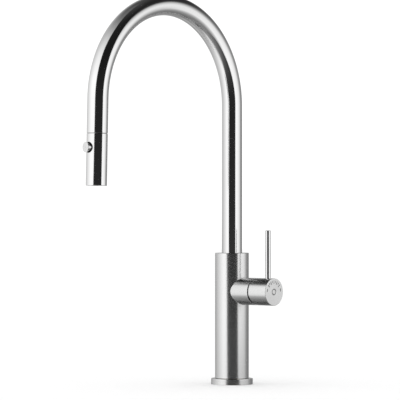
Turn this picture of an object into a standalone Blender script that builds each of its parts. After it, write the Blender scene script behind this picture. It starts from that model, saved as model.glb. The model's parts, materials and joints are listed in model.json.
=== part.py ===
"""Single-lever kitchen tap with a high arc spout and a pull-down spray head.

Sizes are millimetres and are turned into metres when a mesh is made.  +Z is up,
the origin is on the column's axis at the underside of the base ring, the spout
reaches towards -Y and the handle's axis runs towards +X.
"""
import math

import bmesh
import bpy
from mathutils import Matrix, Vector

MM = 0.001
GAP = 0.3                      # running gap between two separate pieces

# ---- driving dimensions ---------------------------------------------------
TUBE_R = 12.0                  # spout tube and spray head, outside
TUBE_BORE_R = 10.9
SPOUT_REACH = 227.0            # column axis to outlet axis
SPRING_Z = 329.6               # where the straight riser meets the arc
LEG_LEAN = 1.5                 # the outlet leg leans outwards, degrees
BODY_R = 20.0
BODY_TOP_Z = 155.5
BASE_R = 24.75
BASE_HEIGHT = 7.0
HANDLE_Z = 110.4
STUB_R = 16.0
STUB_END_X = 38.0
CAP_START_X = 39.5
CAP_END_X = 66.0
PIVOT_X = 36.0                 # tilt axis of the lever, inside the cartridge
TILT = 15.0                    # lever travel, degrees
ROD_X = 56.5
ROD_R = 3.2
ROD_TOP_Z = 182.4
HEAD_START = 39.8              # distances down the outlet leg from the arc's end
HEAD_END = 98.4
BUTTON_ALONG = 55.6
BUTTON_TURN = 10.5             # the docked head is turned this far, degrees
BUTTON_R = 5.8
BUTTON_OUT = 16.2              # button face from the leg's axis
HOSE_R = 5.0
SHANK_R = 16.4
SHANK_BORE_R = 14.4
SHANK_END_Z = -60.0
COUNTER = 30.0                 # worktop thickness the clamp is drawn for
SWIVEL = 75.0                  # spout turns this far each way, degrees

# ---- facets round a turned piece ------------------------------------------
FINE = 40
ROUND = 24
SMALL = 16
TINY = 10

ARC_R = SPOUT_REACH / 2
ARC_ANGLE = 180.0 - LEG_LEAN


def clear_scene():
    for item in list(bpy.data.objects):
        bpy.data.objects.remove(item, do_unlink=True)


def make_material(name, colour, roughness, metallic):
    material = bpy.data.materials.new(name)
    material.use_nodes = True
    shader = material.node_tree.nodes["Principled BSDF"]
    shader.inputs["Base Color"].default_value = (*colour, 1.0)
    shader.inputs["Roughness"].default_value = roughness
    shader.inputs["Metallic"].default_value = metallic
    material.diffuse_color = (*colour, 1.0)
    return material


def make_materials():
    table = {
        "steel": ((0.62, 0.62, 0.61), 0.28, 1.0),
        "brass": ((0.72, 0.56, 0.30), 0.35, 1.0),
        "copper": ((0.76, 0.46, 0.34), 0.35, 1.0),
        "rubber": ((0.03, 0.03, 0.03), 0.70, 0.0),
        "acetal": ((0.80, 0.80, 0.78), 0.45, 0.0),
        "black_plastic": ((0.05, 0.05, 0.05), 0.50, 0.0),
        "ceramic": ((0.88, 0.86, 0.82), 0.25, 0.0),
        "magnet": ((0.12, 0.12, 0.13), 0.45, 1.0),
        "braid": ((0.35, 0.35, 0.36), 0.60, 0.0),
    }
    return {name: make_material(name, *values) for name, values in table.items()}


def axis_empty(name, place, turn=(0.0, 0.0, 0.0), parent=None):
    """An empty whose local +Z is the axis that its pieces are turned about."""
    empty = bpy.data.objects.new(name, None)
    bpy.context.scene.collection.objects.link(empty)
    empty.location = Vector(place) * MM
    empty.rotation_euler = [math.radians(value) for value in turn]
    empty.parent = parent
    return empty


def finish_mesh(name, bm, material, parent, smooth=35.0):
    """Close the bmesh into an object that hangs on an axis empty."""
    bmesh.ops.remove_doubles(bm, verts=bm.verts, dist=1e-6)
    bmesh.ops.recalc_face_normals(bm, faces=bm.faces)
    mesh = bpy.data.meshes.new(name)
    bm.to_mesh(mesh)
    bm.free()
    mesh.shade_smooth()
    mesh.set_sharp_from_angle(angle=math.radians(smooth))
    piece = bpy.data.objects.new(name, mesh)
    bpy.context.scene.collection.objects.link(piece)
    piece.parent = parent
    if material:
        mesh.materials.append(material)
    return piece


def turned(name, outline, material, parent, sides=ROUND, sector=None):
    """Spin an (r, z) outline about local Z; sector=(from, to) leaves a gap."""
    bm = bmesh.new()
    start, end = sector or (0.0, 360.0)
    points = [bm.verts.new((r * MM, 0.0, z * MM)) for r, z in outline]
    pairs = zip(points, points[1:] + points[:1])
    edges = [bm.edges.new(pair) for pair in pairs if pair[0].co.x + pair[1].co.x > 0]
    bmesh.ops.rotate(bm, verts=points, matrix=Matrix.Rotation(math.radians(start), 3, "Z"))
    spun = bmesh.ops.spin(
        bm, geom=points + edges, cent=(0, 0, 0), axis=(0, 0, 1),
        angle=math.radians(end - start), steps=sides)
    if sector:
        bm.faces.new(points)
        last = {item for item in spun["geom_last"] if isinstance(item, bmesh.types.BMVert)}
        ordered = [next(iter(last))]
        while len(ordered) < len(last):
            links = [e.other_vert(ordered[-1]) for e in ordered[-1].link_edges]
            ordered.append(next(v for v in links if v in last and v not in ordered))
        bm.faces.new(ordered)
    return finish_mesh(name, bm, material, parent)


def ring(name, inner, outer, low, high, material, parent, sides=ROUND):
    outline = [(inner, low), (outer, low), (outer, high), (inner, high)]
    return turned(name, outline, material, parent, sides)


def rod(name, radius, low, high, material, parent, sides=SMALL):
    outline = [(0, low), (radius, low), (radius, high), (0, high)]
    return turned(name, outline, material, parent, sides)


def block(name, low, high, material, parent):
    bm = bmesh.new()
    bmesh.ops.create_cube(bm, size=1.0)
    low, high = Vector(low) * MM, Vector(high) * MM
    for vert in bm.verts:
        vert.co = [(a + b) / 2 + c * (b - a) for a, b, c in zip(low, high, vert.co)]
    return finish_mesh(name, bm, material, parent)


def combine(piece, other, operation):
    """Boolean another shape into a piece, and hide that shape from the build."""
    modifier = piece.modifiers.new(other.name, "BOOLEAN")
    modifier.operation = operation
    modifier.object = other
    modifier.solver = "EXACT"
    other.hide_render = True
    other.display_type = "WIRE"


def cut(piece, *cutters):
    for cutter in cutters:
        combine(piece, cutter, "DIFFERENCE")


def add(piece, *others):
    for other in others:
        combine(piece, other, "UNION")


# ---- the column and what clamps it to the worktop -------------------------
PORTS = {                      # cartridge ports: (y, z from the handle's axis)
    "hot": (7.8, -4.0),
    "cold": (-7.8, -4.0),
    "outlet": (7.8, 4.0),
}
PIPES = {                      # pipe axes in the column: (x, y)
    "hot": (-3.0, 10.4),
    "cold": (-3.0, -10.4),
    "outlet": (-9.2, 5.4),
}
PORT_R = 1.7
PIPE_R = 3.1
PIPE_BORE_R = 2.3
SEAT_X = 11.2                  # flat face in the manifold that seals the cartridge


def make_base(mat, column):
    edge = 0.5
    seat_low, seat_high = 18.2, 23.3
    outline = [
        (SHANK_R + 0.5, 0), (seat_low, 0), (seat_low, 2.3), (seat_high, 2.3),
        (seat_high, 0), (BASE_R, 0), (BASE_R, BASE_HEIGHT - edge),
        (BASE_R - edge, BASE_HEIGHT), (SHANK_R + 0.5, BASE_HEIGHT)]
    turned("base_ring", outline, mat["steel"], column, FINE)
    ring("base_gasket", seat_low + GAP, seat_high - GAP, 0, 2.0, mat["rubber"], column)


def make_body_shell(mat, column, handle):
    """The visible column: a tube with a closed top and a stub for the handle."""
    foot_z = BASE_HEIGHT + GAP
    top_wall = 4.0
    bore, foot_bore, neck_bore = 18.2, SHANK_R + GAP, TUBE_R + 0.4
    edge = 0.4
    shell = turned(
        "body_shell",
        [(0, foot_z), (BODY_R, foot_z), (BODY_R, BODY_TOP_Z - edge),
         (BODY_R - edge, BODY_TOP_Z), (0, BODY_TOP_Z)],
        mat["steel"], column, FINE)
    stub = turned(
        "stub_solid",
        [(0, 10), (STUB_R, 10), (STUB_R, STUB_END_X - edge),
         (STUB_R - edge, STUB_END_X), (0, STUB_END_X)],
        None, handle, FINE)
    hollow = turned(
        "column_hollow",
        [(0, foot_z - 2), (foot_bore, foot_z - 2), (foot_bore, 24), (bore, 24),
         (bore, BODY_TOP_Z - top_wall), (neck_bore, BODY_TOP_Z - top_wall),
         (neck_bore, BODY_TOP_Z + 2), (0, BODY_TOP_Z + 2)],
        None, column, FINE)
    stub_bore = rod("stub_bore", 12.9, 9, STUB_END_X + 1, None, handle, ROUND)
    add(shell, stub)
    cut(shell, hollow, stub_bore)


def make_manifold(mat, column, handle):
    """Brass block in the column: seats the cartridge and takes the three pipes."""
    half_height = 16.0
    manifold = rod(
        "valve_manifold", 17.9, HANDLE_Z - half_height, HANDLE_Z + half_height,
        mat["brass"], column, ROUND)
    cut(manifold, rod("hose_way", HOSE_R + 0.4, 90, 130, None, column))
    cut(manifold, rod("cartridge_seat", 13.2, SEAT_X, 22, None, handle, ROUND))
    for name, (x, y) in PIPES.items():
        port_y, port_z = PORTS[name]
        socket_top = HANDLE_Z + port_z + PORT_R + 0.6
        drop = axis_empty(f"{name}_drop", (x, y, 0), parent=column)
        drill = axis_empty(f"{name}_drill", (0, port_y, HANDLE_Z + port_z), (0, 90, 0), column)
        cut(manifold, rod(f"{name}_socket", PIPE_R + GAP, 90, socket_top, None, drop, TINY))
        cut(manifold, rod(f"{name}_way", PORT_R, x, SEAT_X + 2, None, drill, TINY))


def make_pipes(mat, column):
    """Two inlets and the mixed-water outlet, each with a union at its end."""
    ends = {"hot": -72.0, "cold": -72.0, "outlet": -90.0}
    union_length = 15.0
    for name, (x, y) in PIPES.items():
        axis = axis_empty(f"{name}_axis", (x, y, 0), parent=column)
        top = HANDLE_Z + PORTS[name][1] - PORT_R - GAP
        end = ends[name]
        kind = "outlet" if name == "outlet" else f"{name}_inlet"
        ring(f"{kind}_pipe", PIPE_BORE_R, PIPE_R, end, top, mat["copper"], axis, TINY)
        outline = [
            (PIPE_BORE_R, end - GAP - union_length), (3.8, end - GAP - union_length),
            (3.8, end - GAP - 7), (4.5, end - GAP - 7), (4.5, end - GAP),
            (PIPE_BORE_R, end - GAP)]
        turned(f"{kind}_union", outline, mat["brass"], axis, TINY)


def make_clamp(mat, column):
    """Shank through the tap hole, and the gasket, washer and nut under the worktop."""
    bore = SHANK_R + 0.4
    gasket_low = -COUNTER - 3.0
    washer_low = gasket_low - GAP - 2.2
    nut_top = washer_low - GAP
    nut_low = nut_top - 14.0
    ring("threaded_shank", SHANK_BORE_R, SHANK_R, SHANK_END_Z, 23.4, mat["brass"], column)
    ring("clamp_gasket", bore, 24.0, gasket_low, -COUNTER, mat["rubber"], column)
    ring("clamp_washer", bore, 24.0, washer_low, gasket_low - GAP, mat["steel"], column)
    nut = rod("mounting_nut", 25.0, nut_low, nut_top, mat["brass"], column, 6)
    cut(nut, rod("nut_bore", bore, nut_low - 1, nut_top + 1, None, column, ROUND))


# ---- cartridge and handle (local +Z of the handle axis is world +X) -------
def port_cutters(label, low, high, column):
    cutters = []
    for name, (y, z) in PORTS.items():
        axis = axis_empty(f"{label}_{name}_axis", (0, y, HANDLE_Z + z), (0, 90, 0), column)
        cutters.append(rod(f"{label}_{name}_hole", PORT_R, low - 1, high + 1, None, axis, TINY))
    return cutters


def make_cartridge(mat, column, handle):
    seal = rod("cartridge_seal", 11.0, 11.5, 13.0, mat["rubber"], handle)
    cut(seal, *port_cutters("seal", 11.5, 13.0, column))
    base = rod("cartridge_base", 12.2, 13.3, 16.3, mat["black_plastic"], handle)
    cut(base, *port_cutters("base", 13.3, 16.3, column))
    disc = rod("fixed_disc", 11.0, 16.6, 19.6, mat["ceramic"], handle)
    cut(disc, *port_cutters("disc", 16.6, 19.6, column))
    housing = [
        (11.3, 16.6), (12.5, 16.6), (12.5, 32.3), (8.9, 32.3), (8.9, 31.2), (11.3, 31.2)]
    turned("cartridge_housing", housing, mat["black_plastic"], handle)
    nut = ring("cartridge_nut", 9.2, 12.6, 32.6, 35.7, mat["brass"], handle)
    for number, angle in enumerate((0, 90)):
        axis = axis_empty(f"nut_slot_axis_{number}", (0, 0, 0), (0, 0, angle), handle)
        cut(nut, block(f"nut_slot_{number}", (-14, -1, 34.2), (14, 1, 36.5), None, axis))


def make_dome_ring(mat, handle):
    """A zone of a sphere round the tilt pivot, which closes the gap under the cap."""
    outer, inner = 12.6, 11.4
    mouth_r = 8.4
    steps = 6

    def zone(radius):
        last = math.asin(mouth_r / radius)
        angles = [math.pi / 2 + (last - math.pi / 2) * k / steps for k in range(steps + 1)]
        return [(radius * math.sin(a), PIVOT_X + radius * math.cos(a)) for a in angles]

    turned("dome_ring", zone(outer) + zone(inner)[::-1], mat["black_plastic"], handle)


def make_carrier(mat, handle, pivot):
    """The turning part of the cartridge: a flanged sleeve that holds the tilt pin."""
    outline = [(0, 27.5), (10.9, 27.5), (10.9, 30.9), (8.5, 30.9), (8.5, 38), (0, 38)]
    carrier = turned("cartridge_carrier", outline, mat["black_plastic"], handle)
    slot = block("stem_slot", (-6.8, -3.7, 26), (5.5, 3.7, 39), None, handle)
    cut(carrier, slot, rod("carrier_pin_hole", 1.8, -12, 12, None, pivot, TINY))
    rod("pivot_pin", 1.5, -8.0, 8.0, mat["steel"], pivot, TINY)


def make_disc_pack(mat, handle):
    """The moving ceramic disc and the slider on its back, driven by the stem's ball."""
    disc = rod("moving_disc", 8.0, 19.9, 22.9, mat["ceramic"], handle)
    cut(disc, block("disc_window", (-2.5, -5.5, 19), (2.0, 5.5, 24), None, handle))
    ring("disc_slider", 2.9, 8.0, 23.2, 27.2, mat["acetal"], handle)


def make_stem(mat, handle, pivot):
    """Lever stem: a ball in the slider, the pin's cross hole, and the cap's spigot."""
    ball_x, ball_r, neck_r, shaft_r = 25.8, 2.6, 1.9, 3.3
    angles = [math.pi * k / 8 for k in range(7)]
    ball = [(ball_r * math.sin(a), ball_x - ball_r * math.cos(a)) for a in angles]
    shaft = [(neck_r, 29.5), (shaft_r, 31.0), (shaft_r, 60.5), (0, 60.5)]
    stem = turned("cartridge_stem", ball + shaft, mat["brass"], handle, SMALL)
    cut(stem, rod("stem_pin_hole", 1.8, -5, 5, None, pivot, TINY))


def make_handle_cap(mat, column, handle):
    """The round handle: hollow over the dome ring, solid where the rod screws in."""
    front_edge, back_edge = 0.5, 0.3
    cavity_r, cavity_end = 13.4, 49.5
    stem_hole_r, stem_hole_end = 3.6, 61.0
    outline = [
        (cavity_r, CAP_START_X), (STUB_R - back_edge, CAP_START_X),
        (STUB_R, CAP_START_X + back_edge), (STUB_R, CAP_END_X - front_edge),
        (STUB_R - front_edge, CAP_END_X), (0, CAP_END_X), (0, stem_hole_end),
        (stem_hole_r, stem_hole_end), (stem_hole_r, cavity_end), (cavity_r, cavity_end)]
    cap = turned("handle_cap", outline, mat["steel"], handle, FINE)
    # The rim's lower half is planed back, so that it clears the stub when tilted.
    clearance = STUB_END_X + 0.2 - PIVOT_X
    depth = 30.0
    plane = axis_empty("relief_axis", (PIVOT_X, 0, HANDLE_Z), (0, -TILT, 0), column)
    relief = block(
        "rim_relief", (clearance - depth, -20, -30), (clearance, 20, 30), None, plane)
    upright = axis_empty("rod_axis", (ROD_X, 0, HANDLE_Z), parent=column)
    stud_hole = rod("stud_hole", 2.3, 2.5, 18, None, upright, TINY)
    rod_seat = rod("rod_seat", ROD_R + GAP, 14.4, 18, None, upright, SMALL)
    cut(cap, relief, stud_hole, rod_seat)
    top = ROD_TOP_Z - HANDLE_Z
    edge = 0.4
    lever = [
        (0, 3.7), (2.0, 3.7), (2.0, 14.7), (ROD_R, 14.7), (ROD_R, top - edge),
        (ROD_R - edge, top), (0, top)]
    turned("handle_rod", lever, mat["steel"], upright, SMALL)


# ---- spout: tube, swivel and dock -----------------------------------------
TUBE_LOW_Z = 130.0
STOP_HALF = 8.0                # half width of the stop ring's tooth, degrees


def spout_stations():
    """Points and directions down the tube's centre line, all in the YZ plane."""
    arc_steps = 24
    arc_centre = Vector((0, -ARC_R, SPRING_Z))
    stations = [(Vector((0, 0, TUBE_LOW_Z)), 0.0)]
    for k in range(arc_steps + 1):
        angle = math.radians(ARC_ANGLE) * k / arc_steps
        spot = arc_centre + ARC_R * Vector((0, math.cos(angle), math.sin(angle)))
        stations.append((spot, angle))
    lean = math.radians(LEG_LEAN)
    leg_length = HEAD_START - 0.6
    down = Vector((0, -math.sin(lean), -math.cos(lean)))
    stations.append((stations[-1][0] + down * leg_length, stations[-1][1]))
    return stations


def make_spout_tube(mat, column):
    """Straight riser, arc and straight leg: two skins of rings, joined at the ends."""
    bm = bmesh.new()
    skins = []
    for radius in (TUBE_R, TUBE_BORE_R):
        rings = []
        for spot, angle in spout_stations():
            side = Vector((0, math.cos(angle), math.sin(angle)))
            turns = [2 * math.pi * k / ROUND for k in range(ROUND)]
            circle = [Vector((math.cos(t), 0, 0)) + math.sin(t) * side for t in turns]
            rings.append([bm.verts.new((spot + radius * point) * MM) for point in circle])
        skins.append(rings)
    outer, inner = skins
    strips = list(zip(outer, outer[1:])) + list(zip(inner, inner[1:]))
    strips += [(outer[0], inner[0]), (outer[-1], inner[-1])]
    for low, high in strips:
        for k in range(ROUND):
            n = (k + 1) % ROUND
            bm.faces.new((low[k], low[n], high[n], high[k]))
    finish_mesh("spout_tube", bm, mat["steel"], column)


def make_swivel(mat, column):
    """Collar on the tube, two bushes and a toothed stop ring in the column."""
    inner, outer = TUBE_R + GAP, 15.0
    bush_in, bush_out = outer + GAP, 17.9
    collar = [
        (inner, 131), (outer, 131), (outer, 132.4), (14.0, 132.4), (14.0, 134.1),
        (outer, 134.1), (outer, 149), (inner, 149)]
    collar = turned("spout_collar", collar, mat["brass"], column)
    half_slot = SWIVEL + STOP_HALF + 1.5
    slot = [(13.4, 137.9), (15.6, 137.9), (15.6, 142.1), (13.4, 142.1)]
    slot = turned("stop_slot", slot, None, column, ROUND, (90 - half_slot, 90 + half_slot))
    cut(collar, slot)
    ring("lower_bush", bush_in, bush_out, 134.4, 137.9, mat["acetal"], column)
    ring("upper_bush", bush_in, bush_out, 142.1, 151.2, mat["acetal"], column)
    stop = ring("stop_ring", bush_in, bush_out, 138.2, 141.8, mat["steel"], column)
    tooth = [(13.7, 138.2), (16.5, 138.2), (16.5, 141.8), (13.7, 141.8)]
    tooth = turned("stop_tooth", tooth, None, column, 4, (90 - STOP_HALF, 90 + STOP_HALF))
    add(stop, tooth)
    clip = [(14.3, 132.7), (17.0, 132.7), (17.0, 133.8), (14.3, 133.8)]
    turned("retaining_clip", clip, mat["steel"], column, ROUND, (20, 340))
    guide = [
        (6.6, 127.5), (11.8, 127.5), (11.8, 129.7), (TUBE_BORE_R - GAP, 129.7),
        (TUBE_BORE_R - GAP, 144), (7.8, 144), (6.6, 140)]
    turned("hose_guide", guide, mat["acetal"], column, SMALL)


def make_dock(mat, leg):
    """Magnet ring and plastic sleeve in the tube's end, which hold the head."""
    sleeve_out = TUBE_BORE_R - GAP
    ring("magnet_ring", 6.6, sleeve_out, 16, 22, mat["magnet"], leg, SMALL)
    ring("docking_sleeve", 9.2, sleeve_out, 22.3, 39.0, mat["black_plastic"], leg, SMALL)


def hose_route(leg_end, low_z):
    """Centre line: down the leg, round the arc, down the column; points in metres."""
    lean = math.radians(LEG_LEAN)
    arc_centre = Vector((0, -ARC_R, SPRING_Z))
    steps = 24
    points = []
    for k in range(steps + 1):
        angle = math.radians(ARC_ANGLE) * (1 - k / steps)
        points.append(arc_centre + ARC_R * Vector((0, math.cos(angle), math.sin(angle))))
    down = Vector((0, -math.sin(lean), -math.cos(lean)))
    leg = [points[0] + down * (leg_end * (1 - k / 3)) for k in range(3)]
    column_steps = 12
    drop = SPRING_Z - low_z
    column = [Vector((0, 0, SPRING_Z - drop * (k + 1) / column_steps)) for k in range(column_steps)]
    return [point * MM for point in leg + points + column]


def make_hose(mat, column):
    """The braided spray hose that the spout holds from the head to below the shank."""
    end_z = -112.0
    curve = bpy.data.curves.new("spray_hose", "CURVE")
    curve.dimensions = "3D"
    curve.bevel_depth = HOSE_R * MM
    curve.bevel_resolution = 3
    curve.use_fill_caps = True
    curve.render_resolution_u = 0
    route = hose_route(46.0, end_z)
    spline = curve.splines.new("POLY")
    spline.points.add(len(route) - 1)
    for point, place in zip(spline.points, route):
        point.co = (*place, 1.0)
    curve.materials.append(mat["braid"])
    hose = bpy.data.objects.new("spray_hose", curve)
    bpy.context.scene.collection.objects.link(hose)
    hose.parent = column
    connector = [
        (0, end_z - 16), (3.0, end_z - 16), (3.0, end_z - 9), (6.2, end_z - 9),
        (6.2, end_z - GAP), (0, end_z - GAP)]
    turned("hose_connector", connector, mat["brass"], column, SMALL)


# ---- spray head (local +Z runs down the leg, +Y is the button's side) -----
WATERWAY_R = 10.5
BUTTON_FLOOR = 7.4             # floor of the button's pocket, from the leg's axis


def make_head_shell(mat, head, press):
    wall_r = 10.8
    edge = 0.3
    outline = [
        (9.2, HEAD_START), (TUBE_R - edge, HEAD_START), (TUBE_R, HEAD_START + edge),
        (TUBE_R, HEAD_END - edge), (TUBE_R - edge, HEAD_END), (wall_r, HEAD_END),
        (wall_r, HEAD_START + 1.6), (9.2, HEAD_START + 1.6)]
    shell = turned("head_shell", outline, mat["steel"], head, ROUND)
    cut(shell, rod("button_hole", BUTTON_R + GAP, 5, 16, None, press, ROUND))


def make_head_core(mat, leg, head, press):
    """What the head holds: spigot, hose end, filter, check valve, waterway, faces."""
    ring("strike_ring", 6.6, 8.9, 22.6, 24.2, mat["steel"], head, SMALL)
    spigot = [
        (6.6, 24.5), (8.9, 24.5), (8.9, HEAD_START + 2), (WATERWAY_R, HEAD_START + 2),
        (WATERWAY_R, 46), (6.6, 46)]
    turned("dock_spigot", spigot, mat["black_plastic"], head, SMALL)
    ring("hose_ferrule", HOSE_R + GAP, 6.3, 30, 46, mat["brass"], leg, SMALL)
    waterway = [
        (2.5, 51.8), (4.6, 51.8), (4.6, 46.3), (WATERWAY_R, 46.3), (WATERWAY_R, 88),
        (2.5, 88)]
    waterway = turned("spray_waterway", waterway, mat["black_plastic"], head, SMALL)
    cut(waterway, rod("plunger_bore", 3.2, -12, 12, None, press, TINY))
    cut(waterway, rod("button_pocket", BUTTON_R + 0.4, BUTTON_FLOOR, 12, None, press))
    rod("inlet_filter", 4.2, 46.6, 47.6, mat["steel"], head, TINY)
    ring("check_valve", 1.4, 4.2, 47.9, 51.5, mat["acetal"], head, TINY)
    face_out = WATERWAY_R
    nozzle = [(5.5, 88.3), (face_out, 88.3), (face_out, 97.4), (5.5, 97.4)]
    turned("nozzle_ring", nozzle, mat["rubber"], head, SMALL)
    aerator = [(0, 88.3), (5.2, 88.3), (5.2, 97.4), (4.4, 97.4), (4.4, 95.5), (0, 95.5)]
    turned("aerator", aerator, mat["steel"], head, SMALL)


def make_button(mat, press):
    """Push button, the diverter plunger behind it, and its return spring."""
    edge = 0.3
    skirt = 10.2
    outline = [
        (0, 14.6), (4.6, 14.6), (4.6, skirt), (BUTTON_R, skirt),
        (BUTTON_R, BUTTON_OUT - edge), (BUTTON_R - edge, BUTTON_OUT), (0, BUTTON_OUT)]
    turned("spray_button", outline, mat["steel"], press, ROUND)
    shaft, seal = 1.6, 2.9
    plunger = [
        (0, -6.5), (seal, -6.5), (seal, -4.0), (shaft, -4.0), (shaft, 1.0), (seal, 1.0),
        (seal, 3.5), (shaft, 3.5), (shaft, 14.3), (0, 14.3)]
    turned("diverter_plunger", plunger, mat["brass"], press, TINY)
    make_spring(mat, press)


def make_spring(mat, press):
    """A round wire carried along a helix between the pocket's floor and the button."""
    turns, steps_per_turn = 4, 12
    mean_r, wire_r = 3.2, 0.35
    low, high = BUTTON_FLOOR + 0.7, 14.0
    curve = bpy.data.curves.new("button_spring", "CURVE")
    curve.dimensions = "3D"
    curve.bevel_depth = wire_r * MM
    curve.bevel_resolution = 1
    curve.use_fill_caps = True
    curve.render_resolution_u = 0
    count = turns * steps_per_turn
    spline = curve.splines.new("POLY")
    spline.points.add(count)
    for k in range(count + 1):
        angle = 2 * math.pi * k / steps_per_turn
        height = low + (high - low) * k / count
        place = Vector((mean_r * math.cos(angle), mean_r * math.sin(angle), height)) * MM
        spline.points[k].co = (*place, 1.0)
    curve.materials.append(mat["steel"])
    spring = bpy.data.objects.new("button_spring", curve)
    bpy.context.scene.collection.objects.link(spring)
    spring.parent = press


def main():
    clear_scene()
    mat = make_materials()
    column = axis_empty("column_axis", (0, 0, 0))
    handle = axis_empty("handle_axis", (0, 0, HANDLE_Z), (0, 90, 0), column)
    pivot = axis_empty("tilt_axis", (PIVOT_X, 0, HANDLE_Z), (90, 0, 0), column)
    lean = math.radians(LEG_LEAN)
    leg_top = (0, -ARC_R * (1 + math.cos(lean)), SPRING_Z + ARC_R * math.sin(lean))
    leg = axis_empty("leg_axis", leg_top, (180 - LEG_LEAN, 0, 0), column)
    head = axis_empty("head_axis", (0, 0, 0), (0, 0, BUTTON_TURN), leg)
    press = axis_empty("button_axis", (0, 0, BUTTON_ALONG), (-90, 0, 0), head)

    make_base(mat, column)
    make_body_shell(mat, column, handle)
    make_manifold(mat, column, handle)
    make_pipes(mat, column)
    make_clamp(mat, column)
    make_cartridge(mat, column, handle)
    make_dome_ring(mat, handle)
    make_carrier(mat, handle, pivot)
    make_disc_pack(mat, handle)
    make_stem(mat, handle, pivot)
    make_handle_cap(mat, column, handle)
    make_spout_tube(mat, column)
    make_swivel(mat, column)
    make_dock(mat, leg)
    make_hose(mat, column)
    make_head_shell(mat, head, press)
    make_head_core(mat, leg, head, press)
    make_button(mat, press)
    bpy.context.view_layer.update()


main()
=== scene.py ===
import json
import math

import bmesh
import bpy
import numpy as np
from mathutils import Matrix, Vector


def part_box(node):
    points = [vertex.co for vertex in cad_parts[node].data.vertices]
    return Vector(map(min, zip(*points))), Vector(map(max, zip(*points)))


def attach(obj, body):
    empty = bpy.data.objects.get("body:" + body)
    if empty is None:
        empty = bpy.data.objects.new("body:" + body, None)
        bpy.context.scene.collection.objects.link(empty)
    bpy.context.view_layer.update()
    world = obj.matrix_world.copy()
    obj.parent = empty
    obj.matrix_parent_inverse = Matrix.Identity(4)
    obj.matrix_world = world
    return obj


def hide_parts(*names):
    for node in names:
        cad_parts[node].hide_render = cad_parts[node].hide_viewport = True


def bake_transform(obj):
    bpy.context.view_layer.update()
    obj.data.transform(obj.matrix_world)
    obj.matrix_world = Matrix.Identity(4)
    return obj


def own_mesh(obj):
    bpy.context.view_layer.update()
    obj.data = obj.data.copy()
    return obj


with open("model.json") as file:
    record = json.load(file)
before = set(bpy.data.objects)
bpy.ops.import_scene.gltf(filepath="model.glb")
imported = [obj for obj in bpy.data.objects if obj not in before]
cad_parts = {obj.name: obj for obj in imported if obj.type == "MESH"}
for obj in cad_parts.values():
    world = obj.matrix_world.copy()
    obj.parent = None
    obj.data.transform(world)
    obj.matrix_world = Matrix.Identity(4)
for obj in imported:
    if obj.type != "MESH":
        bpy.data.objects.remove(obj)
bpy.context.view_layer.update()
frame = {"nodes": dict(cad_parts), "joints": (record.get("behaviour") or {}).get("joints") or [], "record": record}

bl_info = {
    "name": "Kitchen tap looks",
    "version": (1, 0, 0),
    "blender": (4, 5, 0),
    "location": "View3D > Sidebar > Tap",
    "description": "Brushed steel, hose and studio for a tap with a pull-down spray head",
    "category": "Add Mesh",
}

MM = 0.001
TURN = 2 * math.pi
SEAM = 0.4       # gap between the spout tube and the docked head
AROUND = 10      # map units for a radian round a piece's axis


# ---- places and sizes read from the frame ----
def joint(name):
    return next(item for item in frame["joints"] if item["name"] == name)


def vector(values):
    return np.array(values, float)


def unit(values):
    return vector(values) / np.linalg.norm(values)


def box_mm(node):
    low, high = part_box(node)
    return vector(low) / MM, vector(high) / MM


Z_AXIS = vector((0, 0, 1))
X_AXIS = vector((1, 0, 0))

TUBE_R = box_mm("spout_tube")[1][0]
TUBE_WALL = 1.1
TUBE_LOW_Z = box_mm("spout_tube")[0][2]
LEG_START = vector(joint("spray_turn")["pos_m"]) / MM
DOWN = unit(joint("spray_turn")["axis"])
LEAN = math.atan2(-DOWN[1], -DOWN[2])
ARC_R = -LEG_START[1] / (1 + math.cos(LEAN))
ARC_Z = LEG_START[2] - ARC_R * math.sin(LEAN)
ARC_TURN = math.pi - LEAN
PRESS_OUT = -unit(joint("button_press")["axis"])
PULL = joint("spray_pull")["range_m"][1] / MM

BODY_LOW, BODY_HIGH = box_mm("body_shell")
BODY_R = BODY_HIGH[1]
STUB_END_X = BODY_HIGH[0]
HANDLE_Z = joint("handle_turn")["pos_m"][2] / MM
PIVOT_X = joint("handle_tilt")["pos_m"][0] / MM
TILT = math.radians(joint("handle_tilt")["range_deg"][1])
CAP_LOW, CAP_HIGH = box_mm("handle_cap")
CAP_R = CAP_HIGH[1]
ROD_LOW, ROD_HIGH = box_mm("handle_rod")
ROD_X = (ROD_LOW[0] + ROD_HIGH[0]) / 2
ROD_R = (ROD_HIGH[0] - ROD_LOW[0]) / 2
BASE_R = box_mm("base_ring")[1][0]
BASE_TOP = box_mm("base_ring")[1][2]


def vertex_places(piece):
    """Places of a piece's vertices, in millimetres."""
    places = np.empty(len(piece.data.vertices) * 3)
    piece.data.vertices.foreach_get("co", places)
    return places.reshape(-1, 3) / MM


def down_leg(node):
    """Nearest and furthest distance of a CAD node down the outlet leg's axis."""
    along = (vertex_places(frame["nodes"][node]) - LEG_START) @ DOWN
    return along.min(), along.max()


HEAD_START, HEAD_END = down_leg("head_shell")
TUBE_END = HEAD_START - SEAM
BUTTON_ALONG = sum(down_leg("spray_button")) / 2


# ---- colours ----
def linear(hex_colour):
    """An sRGB hex colour as linear red, green and blue."""
    channels = [int(hex_colour[k:k + 2], 16) / 255 for k in (1, 3, 5)]
    return [c / 12.92 if c <= 0.04045 else ((c + 0.055) / 1.055) ** 2.4 for c in channels]


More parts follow.
